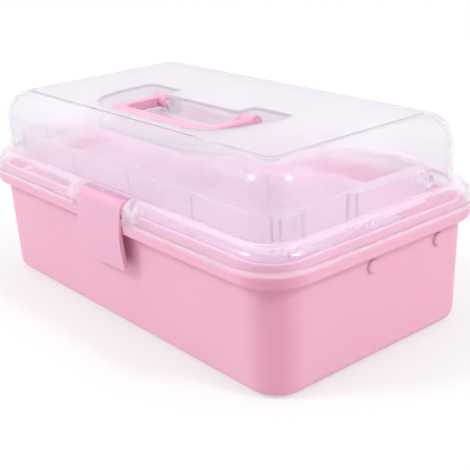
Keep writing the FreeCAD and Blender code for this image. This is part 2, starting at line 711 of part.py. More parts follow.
def make_latch():
    body = new_body("latch")
    # Section of the plate: the outer face is a flat bow, and the inner face is struck from the
    # lid's hinge so that it clears the rim as the lid opens.
    outline = new_sketch(body, "plate_outline", "YZ_Plane", -s.latch_half_width)
    face_top = (latch_y - s.latch_barrel_radius, latch_z)
    tip_z = latch_z - s.latch_drop
    face_tip = (face_top[0] + s.latch_tip_setback, tip_z)
    sweep = hinge_y + rim_half_width + s.latch_rim_gap
    inner_top_z = latch_z
    inner_tip_z = tip_z + s.latch_tip_lift
    axis = FreeCAD.Vector(hinge_y.value, hinge_z.value, 0)

    def on_sweep(z):
        drop = z.value - axis.y
        return FreeCAD.Vector(axis.x - math.sqrt(sweep.value ** 2 - drop ** 2), z.value, 0)

    top = FreeCAD.Vector(face_top[0].value, face_top[1].value, 0)
    tip = FreeCAD.Vector(face_tip[0].value, face_tip[1].value, 0)
    inner_top = on_sweep(inner_top_z)
    inner_tip = on_sweep(inner_tip_z)
    chord = tip - top
    middle = (top + tip) * 0.5
    normal = FreeCAD.Vector(-chord.y, chord.x, 0).normalize()
    if normal.x < 0:
        normal = normal * -1
    radius = s.latch_face_radius.value
    face_centre = middle + normal * math.sqrt(radius ** 2 - (chord.Length / 2) ** 2)
    up = FreeCAD.Vector(0, 0, 1)

    def arc_between(centre, first, last):
        start = math.atan2(first.y - centre.y, first.x - centre.x)
        end = math.atan2(last.y - centre.y, last.x - centre.x)
        circle = Part.Circle(centre, up, (first - centre).Length)
        return Part.ArcOfCircle(circle, start, end)

    face = outline.addGeometry(arc_between(face_centre, top, tip), False)
    bottom = outline.addGeometry(Part.LineSegment(tip, inner_tip), False)
    inner = outline.addGeometry(arc_between(axis, inner_top, inner_tip), False)
    cap = outline.addGeometry(Part.LineSegment(inner_top, top), False)
    outline.addConstraint([
        Sketcher.Constraint("Coincident", face, 2, bottom, 1),
        Sketcher.Constraint("Coincident", bottom, 2, inner, 2),
        Sketcher.Constraint("Coincident", inner, 1, cap, 1),
        Sketcher.Constraint("Coincident", cap, 2, face, 1),
    ])
    place_point(outline, face, 1, "face_top", face_top[0], face_top[1])
    place_point(outline, face, 2, "face_tip", face_tip[0], face_tip[1])
    bind(outline, Sketcher.Constraint("Radius", face, radius), "face_round", s.latch_face_radius)
    place_point(outline, inner, 3, "sweep_centre", hinge_y, hinge_z)
    bind(outline, Sketcher.Constraint("Radius", inner, sweep.value), "sweep_round", sweep)
    bind(outline, Sketcher.Constraint("DistanceY", -1, 1, inner, 1, inner_top_z.value),
         "inner_top", inner_top_z)
    bind(outline, Sketcher.Constraint("DistanceY", -1, 1, inner, 2, inner_tip_z.value),
         "inner_tip", inner_tip_z)
    plate = pad(body, outline, s.latch_half_width * 2, "plate")

    def tip_corner(edge):
        box = edge.BoundBox
        low = box.ZMax < inner_tip_z.value + TOLERANCE
        return low and box.XMax - box.XMin < TOLERANCE

    fillet(body, plate, tip_corner, s.latch_corner_radius, "tip_round")
    barrel_outline = new_sketch(body, "barrel_outline", "YZ_Plane", -s.latch_half_width)
    draw_circle(barrel_outline, latch_y, latch_z, s.latch_barrel_radius)
    pad(body, barrel_outline, s.latch_half_width * 2, "barrel")
    stud_outline = new_sketch(body, "stud_outline", "YZ_Plane", s.latch_half_width - JOIN_OVERLAP)
    draw_circle(stud_outline, latch_y, latch_z, s.latch_stud_radius)
    stud_reach = s.latch_side_gap + s.latch_stud_length - s.latch_stud_end_gap
    stud = pad(body, stud_outline, stud_reach + JOIN_OVERLAP, "stud")
    mirror(body, [stud], "other_stud")
    return body


def make_hinge_pin(side, label):
    body = new_body(label)
    start = s.hinge_near_edge if side > 0 else -(s.hinge_near_edge + s.hinge_length)
    outline = new_sketch(body, "pin_outline", "YZ_Plane", start)
    draw_circle(outline, hinge_y, hinge_z, s.hinge_pin_radius)
    pad(body, outline, s.hinge_length, "pin")
    return body


def make_arm(side, pivot_y, tray_gap, label):
    """A flat link with a hub at the tub's wall, and pivots at its middle and its far end."""
    body = new_body(label)
    start = arm_inner_x if side > 0 else -arm_outer_x
    radius = s.arm_width / 2
    outline = new_sketch(body, "link_outline", "YZ_Plane", start)
    z_axis = FreeCAD.Vector(0, 0, 1)
    near = FreeCAD.Vector(0, 0, 0)
    far = FreeCAD.Vector(s.arm_reach.value, 0, 0)
    half = FreeCAD.Vector(0, radius.value, 0)
    right_angle = math.pi / 2
    near_end = Part.ArcOfCircle(Part.Circle(near, z_axis, radius.value), right_angle, 3 * right_angle)
    far_end = Part.ArcOfCircle(Part.Circle(far, z_axis, radius.value), -right_angle, right_angle)
    near_arc = outline.addGeometry(near_end, False)
    lower = outline.addGeometry(Part.LineSegment(near - half, far - half), False)
    far_arc = outline.addGeometry(far_end, False)
    upper = outline.addGeometry(Part.LineSegment(far + half, near + half), False)
    outline.addConstraint([
        Sketcher.Constraint("Tangent", near_arc, 2, lower, 1),
        Sketcher.Constraint("Tangent", lower, 2, far_arc, 1),
        Sketcher.Constraint("Tangent", far_arc, 2, upper, 1),
        Sketcher.Constraint("Tangent", upper, 2, near_arc, 1),
    ])
    zero = as_size(0)
    place_point(outline, near_arc, 3, "near", zero, zero)
    place_point(outline, far_arc, 3, "far", s.arm_reach, zero)
    bind(outline, Sketcher.Constraint("Radius", near_arc, radius.value), "end_round", radius)
    pad(body, outline, s.arm_thickness, "link")
    hub_start = arm_inner_x if side > 0 else -(arm_outer_x + s.arm_hub_length)
    hub_reach = s.arm_thickness + s.arm_hub_length
    hub_outline = new_sketch(body, "hub_outline", "YZ_Plane", hub_start)
    draw_circle(hub_outline, 0, 0, s.arm_hub_radius)
    pad(body, hub_outline, hub_reach, "hub")
    bore_outline = new_sketch(body, "bore_outline", "YZ_Plane", hub_start + hub_reach + CUT_MARGIN)
    draw_circle(bore_outline, 0, 0, s.rivet_radius + s.running_gap)
    pocket(body, bore_outline, hub_reach + 2 * CUT_MARGIN, "bore")
    holes = new_sketch(body, "hole_outline", "YZ_Plane", start + s.arm_thickness + CUT_MARGIN)
    draw_circle(holes, s.arm_reach / 2, 0, s.rivet_radius + tray_gap, "lower_pivot")
    draw_circle(holes, s.arm_reach, 0, s.rivet_radius + tray_gap, "upper_pivot")
    pocket(body, holes, s.arm_thickness + 2 * CUT_MARGIN, "holes")
    turn = FreeCAD.Rotation(FreeCAD.Vector(1, 0, 0), s.arm_rest_angle.value)
    body.Placement = FreeCAD.Placement(FreeCAD.Vector(0, pivot_y.value, pivot_z.value), turn)
    return body


def make_rivet(side, head_x, y, z, grip, label):
    """A split snap rivet; its head sits at head_x and its barb holds behind the grip."""
    body = new_body(label)
    profile = new_sketch(body, "profile", "XY_Plane")
    barb_start = -(grip + s.arm_side_gap / 2)
    barb_end = barb_start - s.rivet_tip_length
    barb_radius = s.rivet_radius + s.rivet_barb
    draw_outline(profile, [
        (barb_end, 0, None),
        (s.rivet_head_height, 0, None),
        (s.rivet_head_height, s.rivet_head_radius, s.rivet_head_height * ROUND_SHARE),
        (0, s.rivet_head_radius, None),
        (0, s.rivet_radius, None),
        (barb_start, s.rivet_radius, None),
        (barb_start, barb_radius, None),
        (barb_end, s.rivet_tip_radius, None),
    ])
    turned = body.newObject("PartDesign::Revolution", "turned")
    turned.Profile = profile
    turned.ReferenceAxis = (origin_feature(body, "X_Axis"), [""])
    turned.Angle = 360.0
    doc.recompute()
    slot_outline = new_sketch(body, "slot_outline", "XY_Plane", s.rivet_slot / 2)
    slot_root = barb_start + 2 * s.rivet_tip_length
    draw_box(slot_outline, barb_end - CUT_MARGIN, slot_root,
             -(barb_radius + CUT_MARGIN), barb_radius + CUT_MARGIN)
    pocket(body, slot_outline, s.rivet_slot, "slot")
    turn = FreeCAD.Rotation(FreeCAD.Vector(0, 0, 1), 0 if side > 0 else 180)
    body.Placement = FreeCAD.Placement(FreeCAD.Vector(side * head_x.value, y.value, z.value), turn)
    return body


def add_bracket(body, name, low_y, high_y, tray_half, bottom, rim_height):
    """An open-bottomed box on the tray's end whose outer plate takes the rivets."""
    outline = new_sketch(body, name + "_outline", "XY_Plane", bottom)
    draw_box(outline, tray_half - s.tray_wall, bracket_outer_x, low_y, high_y)
    block = pad(body, outline, rim_height - bottom, name)
    inside = new_sketch(body, name + "_inside_outline", "XY_Plane", rim_height - s.tray_lip_thickness)
    draw_box(inside, tray_half, bracket_inner_x, low_y + s.bracket_wall, high_y - s.bracket_wall)
    hollow = pocket(body, inside, rim_height - bottom, name + "_inside")
    return [block, hollow]


def make_tray(label, front, rear, bottom, depth, spans, studs, drive, dividers):
    """A tray with a lip, brackets over its studs and moulded dividers."""
    body = new_body(label)
    half = tub_inner_half_length - s.tray_end_gap
    rim_height = bottom + depth
    radius = s.tray_corner_radius
    foot = tray_sketch(body, "foot_outline", bottom, half - s.tray_draft, front + s.tray_draft,
                       rear - s.tray_draft, radius - s.tray_draft)
    pad(body, foot, depth, "shell", s.tray_draft)
    lip_outline = tray_sketch(body, "lip_outline", rim_height - s.tray_lip_thickness,
                              half + s.tray_lip, front - s.tray_lip, rear + s.tray_lip,
                              radius + s.tray_lip)
    pad(body, lip_outline, s.tray_lip_thickness, "lip")
    mirrored = []
    for name, low_y, high_y in spans:
        mirrored += add_bracket(body, name, low_y, high_y, half, bottom + s.bracket_foot, rim_height)
    hole_outline = new_sketch(body, "rivet_hole_outline", "YZ_Plane", bracket_outer_x + CUT_MARGIN)
    for i, (y, z) in enumerate(studs):
        draw_circle(hole_outline, y, z, s.rivet_radius + s.press_gap, "rivet_%d" % (i + 1))
    if drive:
        draw_circle(hole_outline, drive[0], drive[1], s.drive_stub_radius + s.open_pivot_gap, "drive")
    mirrored.append(pocket(body, hole_outline, s.bracket_plate + 2 * CUT_MARGIN, "rivet_holes"))
    mirror(body, mirrored, "other_end")
    mouth = tray_sketch(body, "mouth_outline", rim_height, half - s.tray_wall, front + s.tray_wall,
                        rear - s.tray_wall, radius - s.tray_wall)
    pocket(body, mouth, depth - s.tray_wall, "hollow", -s.tray_draft)

    # Dividers: one along the tray, and short ones across its two rows
    height = depth - s.tray_wall / 2 - s.divider_drop
    floor = bottom + s.tray_wall / 2
    bite = s.tray_draft + s.divider_bite
    thick = s.divider_thickness / 2
    row_y, rear_spacing, front_spacing = dividers
    long_outline = new_sketch(body, "long_divider_outline", "XY_Plane", floor)
    draw_box(long_outline, bite - half, half - bite, row_y - thick, row_y + thick)
    pad(body, long_outline, height, "long_divider")
    cross_outline = new_sketch(body, "cross_divider_outline", "XY_Plane", floor)
    for i, factor in enumerate((-0.5, 0.5)):
        x = rear_spacing * factor
        draw_box(cross_outline, x - thick, x + thick, row_y, rear - bite, None, "rear_%d" % i)
    for i, factor in enumerate((-1, 0, 1)):
        x = front_spacing * factor
        draw_box(cross_outline, x - thick, x + thick, front + bite, row_y - thick / 2, None,
                 "front_%d" % i)
    pad(body, cross_outline, height, "cross_dividers")
    return body


def make_upper_tray():
    front = -(tub_inner_half_width - s.tray_front_gap)
    rear = tub_inner_half_width - s.upper_tray_rear_gap
    spans = [
        ("front_bracket", upper_front_stud[0] - s.bracket_margin, upper_front_stud[0] + s.bracket_margin),
        ("rear_bracket", upper_rear_stud[0] - s.bracket_margin, drive_stud[0] + s.bracket_margin),
    ]
    return make_tray("upper_tray", front, rear, s.upper_tray_bottom_height, s.upper_tray_depth, spans,
                     [upper_front_stud, upper_rear_stud], drive_stud,
                     (s.divider_y, s.rear_divider_spacing, s.front_divider_spacing))


def make_lower_tray():
    front = -(tub_inner_half_width - s.lower_tray_front_gap)
    rear = tub_inner_half_width - s.lower_tray_rear_gap
    spans = [
        ("front_bracket", lower_front_stud[0] - s.bracket_margin, lower_front_stud[0] + s.bracket_margin),
        ("rear_bracket", lower_rear_stud[0] - s.bracket_margin, lower_rear_stud[0] + s.bracket_margin),
    ]
    return make_tray("lower_tray", front, rear, s.lower_tray_bottom_height, s.lower_tray_depth, spans,
                     [lower_front_stud, lower_rear_stud], None,
                     (s.lower_divider_y, s.rear_divider_spacing, s.front_divider_spacing))


def make_all():
    pieces = [make_base_tub(), make_lid(), make_handle(), make_latch()]
    pieces += [make_lower_tray(), make_upper_tray()]
    seat_drop = s.rim_underside_height - pivot_z - s.rivet_head_radius
    tub_face = tub_half_length - s.tub_draft * seat_drop / s.rim_underside_height
    tray_grip = arm_outer_x - bracket_inner_x + s.arm_side_gap / 2
    for side, word in ((1, "right"), (-1, "left")):
        pieces.append(make_hinge_pin(side, "hinge_pin_" + word))
        pieces.append(make_arm(side, pivot_front_y, s.open_pivot_gap, "arm_front_" + word))
        pieces.append(make_arm(side, pivot_rear_y, s.running_gap, "arm_rear_" + word))
        for place, y in (("front", pivot_front_y), ("rear", pivot_rear_y)):
            pieces.append(make_rivet(side, tub_face, y, pivot_z, tub_face - arm_inner_x,
                                     "base_rivet_%s_%s" % (place, word)))
        head_x = arm_outer_x + s.arm_side_gap / 2
        for place, stud in (("front", lower_front_stud), ("rear", lower_rear_stud)):
            pieces.append(make_rivet(side, head_x, stud[0], stud[1], tray_grip,
                                     "lower_rivet_%s_%s" % (place, word)))
        for place, stud in (("front", upper_front_stud), ("rear", upper_rear_stud)):
            pieces.append(make_rivet(side, head_x, stud[0], stud[1], tray_grip,
                                     "upper_rivet_%s_%s" % (place, word)))
    return pieces


def check_document():
    for thing in doc.Objects:
        if "Invalid" in thing.State or "Error" in thing.State:
            raise ValueError("%s is in state %s" % (thing.Label, thing.State))


def write_pieces(pieces):
    os.makedirs("parts", exist_ok=True)
    for piece in pieces:
        shape = piece.Shape
        if shape.isNull() or not shape.isValid():
            raise ValueError("%s has no sound shape" % piece.Label)
    for piece in pieces:
        piece.Shape.exportStep("parts/%s.step" % piece.Label)
        print("%-26s solids %d volume %.1f" % (piece.Label, len(piece.Shape.Solids), piece.Shape.Volume))


pieces = make_all()
doc.recompute()
check_document()
write_pieces(pieces)
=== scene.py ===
import math

import bmesh
import bpy
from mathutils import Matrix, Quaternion, Vector


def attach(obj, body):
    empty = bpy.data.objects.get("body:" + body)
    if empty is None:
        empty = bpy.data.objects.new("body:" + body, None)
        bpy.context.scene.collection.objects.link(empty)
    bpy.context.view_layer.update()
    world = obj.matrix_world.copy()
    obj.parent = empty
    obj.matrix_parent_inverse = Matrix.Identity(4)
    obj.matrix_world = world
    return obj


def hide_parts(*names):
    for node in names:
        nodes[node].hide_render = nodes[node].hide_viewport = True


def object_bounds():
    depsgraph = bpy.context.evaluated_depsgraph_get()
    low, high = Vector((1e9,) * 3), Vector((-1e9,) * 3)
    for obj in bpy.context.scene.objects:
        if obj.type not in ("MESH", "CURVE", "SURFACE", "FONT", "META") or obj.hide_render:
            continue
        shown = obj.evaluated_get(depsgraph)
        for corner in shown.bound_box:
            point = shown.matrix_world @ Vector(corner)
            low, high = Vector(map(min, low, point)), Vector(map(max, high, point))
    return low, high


# Plastic tool box with a clear domed lid, dressed in moulded plastic on a pale studio floor

bl_info = {
    "name": "Clear Lid Tool Box",
    "version": (1, 0, 0),
    "blender": (4, 5, 0),
    "location": "3D View > Sidebar > Tool Box",
    "description": "Gives a moulded tool box its plastics and sets it in a soft studio",
    "category": "Object",
}

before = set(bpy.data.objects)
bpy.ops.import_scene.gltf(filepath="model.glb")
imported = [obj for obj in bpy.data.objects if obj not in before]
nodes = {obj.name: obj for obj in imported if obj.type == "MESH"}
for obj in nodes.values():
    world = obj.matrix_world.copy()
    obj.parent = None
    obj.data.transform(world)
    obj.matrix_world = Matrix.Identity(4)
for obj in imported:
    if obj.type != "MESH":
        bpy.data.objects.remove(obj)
cad_low, cad_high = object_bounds()

MM = 0.001

# Small pieces keep their solids' meshes, and the large ones get welded copies with even shading
PINK_NODES = [n for n in nodes if n.startswith("base_rivet")]
TRAY_NODES = [n for n in nodes if n.startswith(("arm_", "lower_rivet", "upper_rivet"))]
PIN_NODES = ["hinge_pin_left", "hinge_pin_right"]

# How close points are welded, and the turns between faces that still count as flat and as round
WELD_DISTANCE = 0.000001
FLAT_ANGLE = math.radians(0.6)
SHARP_ANGLE = math.radians(30.0)

# What a flat counts for at a corner where no soft edge borders it
LEAST_SHARE = 0.001

# The moulded surface: the drift's span that turns into roughness, and the fineness of the peel
DRIFT_SPAN = (0.35, 0.65)
PEEL_DETAIL = 3.0

# The pink plastic: its refraction, the light that goes through it and the light that spreads in it
PINK_INDEX = 1.49
GLOW_SHARE = 0.10
SPREAD_SHARE = 0.6
SPREAD_REACH = 0.004
SPREAD_COLOURS = (1.0, 0.25, 0.40)

# How far from the tub's middle the painted shade on its rounded corners starts and is at its deepest
CORNER_SHADE_SPAN_X = (0.128, 0.160)
CORNER_SHADE_SPAN_Y = (0.060, 0.092)

# The see-through plastics: refraction, the milk's gloss, and the turn from which milk seems to gather
CLEAR_INDEX = 1.45
MILK_ROUGHNESS = 0.3
HAZE_FROM = 0.35

# The milk's share in the lid's ears, where it is partly haze of thick plastic and partly painted
# highlight, and along its bead and crease, where it is painted highlight
HAZE_AND_HIGHLIGHT_SHARE = 0.35

# The lid's right ear beside the latch, and how far its milk, partly haze and partly painted highlight,
# reaches round it
EAR_CENTRE = Vector((0.0303, -0.0935, 0.0890))
EAR_REACH = (0.008, 0.013)

# The heights between which the painted highlight along the lid's lower bead fades
BEAD_HIGHLIGHT_FADE = (0.0822, 0.0850)

# The crease where the dome rises from the shoulder, and how far the painted highlight along it reaches
# up and down
CREASE_HEIGHT = 0.0969
CREASE_HIGHLIGHT_REACH = (0.0004, 0.0012)

# The two side lamps, and the height at which the sky has reached its overhead strength
LAMP_ELEVATION = math.radians(43.0)
LAMP_DISTANCE = 4.0
LAMP_SIZE = 0.8
SKY_BAND = 0.8

# The studio floor's dull finish, the camera's sensor in millimetres, and how often light may turn
FLOOR_ROUGHNESS = 0.9
FLOOR_GLOSS = 0.1
SENSOR_WIDTH = 36.0
LIGHT_BOUNCES = 24


class ToolBoxColours(bpy.types.PropertyGroup):
    pink: bpy.props.FloatVectorProperty(
        name="Pink", description="Colour of the tub, handle and latch",
        subtype="COLOR", size=3, min=0.0, max=1.0, default=(0.81, 0.455, 0.605))
    pink_deep: bpy.props.FloatVectorProperty(
        name="Deep pink", description="Colour of the thicker stretches of the pink plastic",
        subtype="COLOR", size=3, min=0.0, max=1.0, default=(0.79, 0.42, 0.575))
    # Corner pink is painted shade: a darker, deeper pink on the tub's four rounded corners
    corner_shade_pink: bpy.props.FloatVectorProperty(
        name="Corner pink", description="Colour of the tub's thick rounded corners",
        subtype="COLOR", size=3, min=0.0, max=1.0, default=(0.70, 0.29, 0.45))
    pink_glow: bpy.props.FloatVectorProperty(
        name="Pink glow", description="Colour of the light that comes through the pink walls",
        subtype="COLOR", size=3, min=0.0, max=1.0, default=(0.98, 0.40, 0.58))
    clear: bpy.props.FloatVectorProperty(
        name="Clear", description="Tint of the clear lid",
        subtype="COLOR", size=3, min=0.0, max=1.0, default=(0.915, 0.92, 0.93))
    clear_milk: bpy.props.FloatVectorProperty(
        name="Clear milk", description="Colour of the haze in the clear lid",
        subtype="COLOR", size=3, min=0.0, max=1.0, default=(0.75, 0.71, 0.77))
    # Milk colour for the lid's ears, partly haze of thick plastic and partly painted highlight, and for
    # the painted highlight along its bead and crease
    haze_and_highlight_milk: bpy.props.FloatVectorProperty(
        name="Thick milk", description="Colour of the haze in the lid's thick ears and bead",
        subtype="COLOR", size=3, min=0.0, max=1.0, default=(0.97, 0.80, 0.90))
    frosted: bpy.props.FloatVectorProperty(
        name="Frosted", description="Tint of the translucent trays and arms",
        subtype="COLOR", size=3, min=0.0, max=1.0, default=(0.98, 0.93, 0.97))
    frosted_milk: bpy.props.FloatVectorProperty(
        name="Frosted milk", description="Colour of the haze in the trays and arms",
        subtype="COLOR", size=3, min=0.0, max=1.0, default=(0.95, 0.77, 0.89))
    steel: bpy.props.FloatVectorProperty(
        name="Steel", description="Colour of the hinge pins",
        subtype="COLOR", size=3, min=0.0, max=1.0, default=(0.62, 0.62, 0.64))
    floor: bpy.props.FloatVectorProperty(
        name="Floor", description="Colour of the studio floor",
        subtype="COLOR", size=3, min=0.0, max=1.0, default=(0.45, 0.45, 0.45))


class ToolBoxStage(bpy.types.PropertyGroup):
    azimuth: bpy.props.FloatProperty(
        name="Azimuth", description="Camera's turn round the box", subtype="ANGLE",
        default=math.radians(51.086))
    elevation: bpy.props.FloatProperty(
        name="Elevation", description="Camera's height above the horizon", subtype="ANGLE",
        default=math.radians(21.106))
    roll: bpy.props.FloatProperty(
        name="Roll", description="Camera's tilt about its own axis", subtype="ANGLE",
        default=math.radians(-2.858))
    distance: bpy.props.FloatProperty(
        name="Distance", description="From the camera to the point that it looks at", unit="LENGTH",
        default=0.6865)
    aim: bpy.props.FloatVectorProperty(
        name="Aim", description="Point that the camera looks at", subtype="TRANSLATION", size=3,
        default=(0.0107, 0.0, 0.0438))
    lens: bpy.props.FloatProperty(
        name="Lens", description="Focal length in millimetres on a 36 mm sensor", default=73.06)
    shift: bpy.props.FloatVectorProperty(
        name="Shift", description="Camera shift, as a share of the picture", size=2,
        default=(0.0188, -0.0019))
    floor_size: bpy.props.FloatProperty(
        name="Floor size", description="Length of the floor's side", unit="LENGTH", default=12.0)
    floor_glow: bpy.props.FloatProperty(
        name="Floor glow", description="Light that the studio floor gives off by itself",
        default=0.43)
    sky_low: bpy.props.FloatProperty(
        name="Sky at the horizon", description="Strength of the light from the sides", default=0.85)
    sky_high: bpy.props.FloatProperty(
        name="Sky overhead", description="Strength of the light from above", default=1.0)
    sky_fall: bpy.props.FloatProperty(
        name="Sky fall", description="How much dimmer the air is on the camera's side",
        default=0.4)
    sky_sides: bpy.props.FloatProperty(
        name="Sky sides", description="Extra light to the left and right of the camera",
        default=0.5)
    side_power: bpy.props.FloatProperty(
        name="Side lamps", description="Power of each of the two side lamps in watts", default=48.0)
    side_turn: bpy.props.FloatVectorProperty(
        name="Side lamp turns", description="Directions of the left and the right lamp round the box",
        subtype="EULER", size=2, default=(math.radians(-28.0), math.radians(107.0)))


# Shader building


def link(tree, source, target):
    tree.links.new(source, target)


def feed(tree, value, target):
    """Links an output to a socket, or sets the socket to a plain value."""
    if isinstance(value, bpy.types.NodeSocket):
        link(tree, value, target)
    else:
        target.default_value = value


def calculate(tree, operation, *values):
    """The result of a Math node on outputs and plain numbers."""
    node = tree.nodes.new("ShaderNodeMath")
    node.operation = operation
    for number, value in enumerate(values):
        feed(tree, value, node.inputs[number])
    return node.outputs["Value"]


def compare_vectors(tree, operation, source, fixed):
    """The number that a Vector Math node gives for an output and a fixed vector."""
    node = tree.nodes.new("ShaderNodeVectorMath")
    node.operation = operation
    link(tree, source, node.inputs[0])
    node.inputs[1].default_value = fixed
    return node.outputs["Value"]


def map_range(tree, value, span, results, interpolation="SMOOTHSTEP"):
    """Turns a span of values into a span of results, both given by their two ends."""
    node = tree.nodes.new("ShaderNodeMapRange")
    node.interpolation_type = interpolation
    feed(tree, value, node.inputs["Value"])
    for name, end in zip(("From Min", "From Max", "To Min", "To Max"), (*span, *results)):
        feed(tree, end, node.inputs[name])
    return node.outputs["Result"]


def mix(tree, kind, share, first, second):
    """Goes from the first to the second number or colour as the share rises."""
    node = tree.nodes.new("ShaderNodeMix")
    node.data_type = kind
    feed(tree, share, node.inputs["Factor"])
    feed(tree, first, node.inputs["A"])
    feed(tree, second, node.inputs["B"])
    return node.outputs["Result"]


def mix_shaders(tree, share, first, second):
    """Goes from the first to the second shader as the share rises."""
    node = tree.nodes.new("ShaderNodeMixShader")
    feed(tree, share, node.inputs["Fac"])
    link(tree, first, node.inputs[1])
    link(tree, second, node.inputs[2])
    return node.outputs["Shader"]


def split_place(tree, coordinates):
    """Texture coordinates of one kind, whole and as their X, Y and Z."""
    place = tree.nodes.new("ShaderNodeTexCoord")
    parts = tree.nodes.new("ShaderNodeSeparateXYZ")
    link(tree, place.outputs[coordinates], parts.inputs["Vector"])
    return place.outputs[coordinates], parts.outputs["X"], parts.outputs["Y"], parts.outputs["Z"]


def moulded_surface_group():
    """Slow drifts of tone and the faint orange peel of a polished mould."""
    found = bpy.data.node_groups.get("Moulded surface")
    if found:
        return found
    group = bpy.data.node_groups.new("Moulded surface", "ShaderNodeTree")
    group.interface.new_socket("Vector", in_out="INPUT", socket_type="NodeSocketVector")
    for name in ("Drift scale", "Peel scale", "Dull from", "Dull to"):
        group.interface.new_socket(name, in_out="INPUT", socket_type="NodeSocketFloat")
    for name in ("Drift", "Roughness", "Height"):
        group.interface.new_socket(name, in_out="OUTPUT", socket_type="NodeSocketFloat")
    start = group.nodes.new("NodeGroupInput")
    end = group.nodes.new("NodeGroupOutput")
    drift = group.nodes.new("ShaderNodeTexNoise")
    link(group, start.outputs["Vector"], drift.inputs["Vector"])
    link(group, start.outputs["Drift scale"], drift.inputs["Scale"])
    link(group, drift.outputs["Fac"], end.inputs["Drift"])
    dull = map_range(group, drift.outputs["Fac"], DRIFT_SPAN,
                     (start.outputs["Dull from"], start.outputs["Dull to"]), "LINEAR")
    link(group, dull, end.inputs["Roughness"])
    peel = group.nodes.new("ShaderNodeTexNoise")
    peel.inputs["Detail"].default_value = PEEL_DETAIL
    link(group, start.outputs["Vector"], peel.inputs["Vector"])
    link(group, start.outputs["Peel scale"], peel.inputs["Scale"])
    link(group, peel.outputs["Fac"], end.inputs["Height"])
    return group


def new_material(name):
    material = bpy.data.materials.new(name)
    material.use_nodes = True
    tree = material.node_tree
    shader = tree.nodes["Principled BSDF"]
    return material, tree, shader


def add_surface(tree, shader, drift_scale, peel_scale, rough, peel_strength, peel_depth):
    """Ties the moulded surface to a shader's roughness and normal, and gives the drift of its tone."""
    place = tree.nodes.new("ShaderNodeTexCoord")
    surface = tree.nodes.new("ShaderNodeGroup")
    surface.node_tree = moulded_surface_group()
    link(tree, place.outputs["Object"], surface.inputs["Vector"])
    surface.inputs["Drift scale"].default_value = drift_scale
    surface.inputs["Peel scale"].default_value = peel_scale
    surface.inputs["Dull from"].default_value = rough[0]
    surface.inputs["Dull to"].default_value = rough[1]
    link(tree, surface.outputs["Roughness"], shader.inputs["Roughness"])
    bump = tree.nodes.new("ShaderNodeBump")
    bump.inputs["Strength"].default_value = peel_strength
    bump.inputs["Distance"].default_value = peel_depth
    link(tree, surface.outputs["Height"], bump.inputs["Height"])
    link(tree, bump.outputs["Normal"], shader.inputs["Normal"])
    return surface.outputs["Drift"]


def painted_corner_shade_mask(tree):
    """One at the four upright corners of the tub, fading to nothing on the walls between them, for the
    painted corner shade.
    """
    _, x, y, _ = split_place(tree, "Object")
    near = [
        map_range(tree, calculate(tree, "ABSOLUTE", way), span, (0.0, 1.0))
        for way, span in ((x, CORNER_SHADE_SPAN_X), (y, CORNER_SHADE_SPAN_Y))
    ]
    return calculate(tree, "MULTIPLY", *near)


def pink_plastic(colours):
    """Pink walls that let some light through and spread some of it inside."""
    material, tree, shader = new_material("Pink moulded plastic")
    drift = add_surface(tree, shader, drift_scale=9.0, peel_scale=1400.0, rough=(0.30, 0.40),
                        peel_strength=0.25, peel_depth=0.00006)
    tone = mix(tree, "RGBA", drift, (*colours.pink, 1.0), (*colours.pink_deep, 1.0))
    # Painted shade: the tub's rounded corners turn a darker, deeper pink
    tone = mix(tree, "RGBA", painted_corner_shade_mask(tree), tone, (*colours.corner_shade_pink, 1.0))
    link(tree, tone, shader.inputs["Base Color"])
    shader.inputs["IOR"].default_value = PINK_INDEX
    shader.inputs["Subsurface Weight"].default_value = SPREAD_SHARE
    shader.inputs["Subsurface Radius"].default_value = SPREAD_COLOURS
    shader.inputs["Subsurface Scale"].default_value = SPREAD_REACH
    through = tree.nodes.new("ShaderNodeBsdfTranslucent")
    through.inputs["Color"].default_value = (*colours.pink_glow, 1.0)
    wall = mix_shaders(tree, GLOW_SHARE, shader.outputs["BSDF"], through.outputs["BSDF"])
    link(tree, wall, tree.nodes["Material Output"].inputs["Surface"])
    return material


def haze_and_painted_highlight_mask(tree):
    """One in the lid's ears, partly haze of thick plastic and partly painted highlight, and along its
    low bead and crease as painted highlight; nothing in the rest of it.
    """
    _, x, y, z = split_place(tree, "Object")
    folded = tree.nodes.new("ShaderNodeCombineXYZ")
    link(tree, calculate(tree, "ABSOLUTE", x), folded.inputs["X"])
    link(tree, y, folded.inputs["Y"])
    link(tree, z, folded.inputs["Z"])
    from_ear = compare_vectors(tree, "DISTANCE", folded.outputs["Vector"], EAR_CENTRE)
    from_crease = calculate(tree, "ABSOLUTE", calculate(tree, "SUBTRACT", z, CREASE_HEIGHT))
    most = 0.0
    for value, span in ((from_ear, EAR_REACH), (z, BEAD_HIGHLIGHT_FADE), (from_crease, CREASE_HIGHLIGHT_REACH)):
        most = calculate(tree, "MAXIMUM", map_range(tree, value, span, (1.0, 0.0)), most)
    return most


